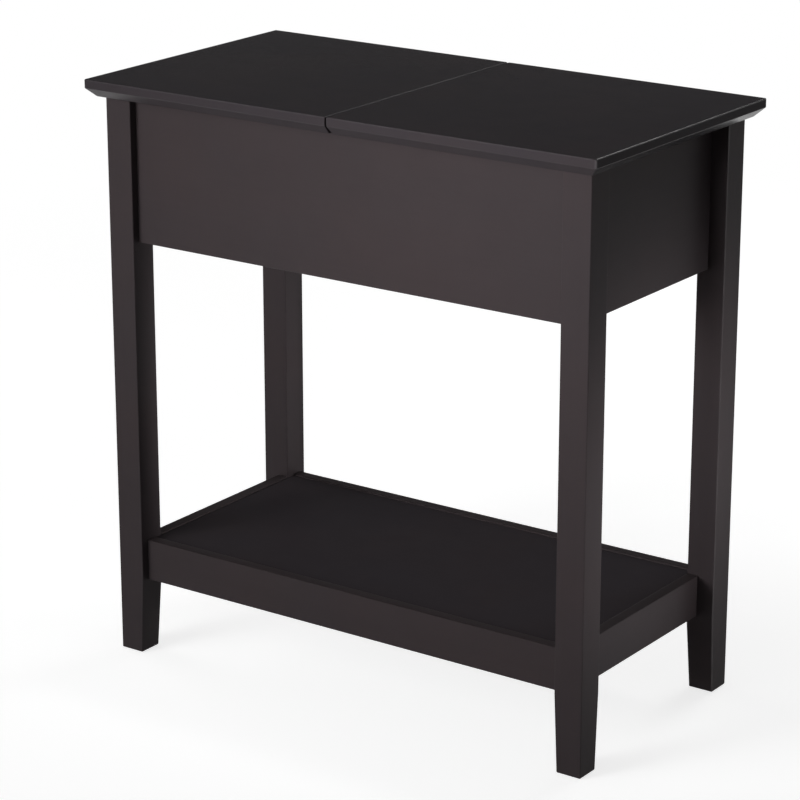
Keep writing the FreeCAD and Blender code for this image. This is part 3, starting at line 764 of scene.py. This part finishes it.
def makeFloor():
    # Flat sheet whose lit tone passes over into plain white away from the table.
    mesh = bpy.data.meshes.new("studioFloor")
    reach, tone = studio["floorReach"], studio["floorTone"]
    corners = [(-reach, -reach, 0), (reach, -reach, 0), (reach, reach, 0), (-reach, reach, 0)]
    mesh.from_pydata(corners, [], [(0, 1, 2, 3)])
    floor = bpy.data.objects.new("studioFloor", mesh)
    bpy.context.scene.collection.objects.link(floor)
    material = bpy.data.materials.new("paleFloor")
    material.use_nodes = True
    material.node_tree.nodes.clear()
    wire = Wiring(material.node_tree)
    seen = seenDirectly(wire)
    place = wire.add("ShaderNodeTexCoord").outputs["Object"]
    away = wire.add("ShaderNodeVectorMath", {"operation": "LENGTH"}, Vector=place)
    fade = wire.ramp(away.outputs["Value"], studio["fadeStart"], studio["fadeEnd"])
    fade = wire.math("MULTIPLY", fade, seen)
    lit = wire.add("ShaderNodeBsdfDiffuse", None, Color=(tone, tone, tone, 1))
    fill = wire.math("MULTIPLY", seen, studio["floorFill"])
    fill = wire.add("ShaderNodeEmission", None, Strength=fill)
    near = wire.add("ShaderNodeAddShader", None, i0=lit.outputs[0], i1=fill.outputs[0])
    far = wire.add("ShaderNodeEmission", None, Strength=1.0)
    mixed = wire.add("ShaderNodeMixShader", None, i0=fade, i1=near.outputs[0],
                     i2=far.outputs[0])
    wire.add("ShaderNodeOutputMaterial", None, Surface=mixed.outputs[0])
    mesh.materials.append(material)


def makeWorld():
    # The lens, and what surfaces mirror or pass on, see a white sweep near the horizon that
    # passes into a dark ceiling. Everything else is lit by an even, dim glow.
    world = bpy.data.worlds.new("studio")
    bpy.context.scene.world = world
    world.use_nodes = True
    world.node_tree.nodes.clear()
    wire = Wiring(world.node_tree)
    direction = wire.add("ShaderNodeTexCoord").outputs["Generated"]
    upward = wire.add("ShaderNodeSeparateXYZ", None, Vector=direction).outputs["Z"]
    tone = wire.ramp(upward, studio["horizonEnd"], studio["ceilingStart"], 1.0,
                     studio["ceilingTone"])
    glow = wire.add("ShaderNodeBackground", None, Color=white, Strength=studio["ambient"])
    sweep = wire.add("ShaderNodeBackground", None, Color=tone, Strength=1.0)
    mixed = wire.add("ShaderNodeMixShader", None, i0=seenDirectly(wire), i1=glow.outputs[0],
                     i2=sweep.outputs[0])
    wire.add("ShaderNodeOutputWorld", None, Surface=mixed.outputs[0])


def aim(thing, place, target):
    # A lamp shines down its own Z, so it is tipped up from there and then turned to the target.
    away = np.array(target, float) - np.array(place, float)
    rise = math.atan2(away[2], math.hypot(away[0], away[1]))
    thing.location = place
    thing.rotation_euler = (math.pi / 2 + rise, 0, math.atan2(-away[0], away[1]))


def makeLamps():
    # The lens sees no lamp, and surfaces mirror one only.
    for name, (place, target, size, watts, spread) in studio["lamps"].items():
        lamp = bpy.data.lights.new(name, "AREA")
        lamp.shape = "RECTANGLE"
        lamp.size, lamp.size_y = size
        lamp.energy = watts
        lamp.spread = math.radians(spread)
        holder = bpy.data.objects.new(name, lamp)
        bpy.context.scene.collection.objects.link(holder)
        holder.visible_camera = False
        holder.visible_glossy = name == studio["mirrored"]
        aim(holder, place, target)


cameraSetup = {"place": (1.6574, -2.3836, 1.2347), "turn": 35.21, "dip": 17.98, "lens": 135.0,
               "sensor": 36.0}


def makeCamera():
    data = bpy.data.cameras.new("camera")
    data.sensor_width = cameraSetup["sensor"]
    data.lens = cameraSetup["lens"]
    camera = bpy.data.objects.new("camera", data)
    bpy.context.scene.collection.objects.link(camera)
    camera.location = cameraSetup["place"]
    tip, turn = math.radians(90 - cameraSetup["dip"]), math.radians(cameraSetup["turn"])
    camera.rotation_euler = (tip, 0, turn)
    bpy.context.scene.camera = camera


makeFloor()
makeWorld()
makeLamps()
makeCamera()
bpy.context.scene.view_settings.view_transform = "Standard"
print("studio made")

bpy.context.view_layer.update()
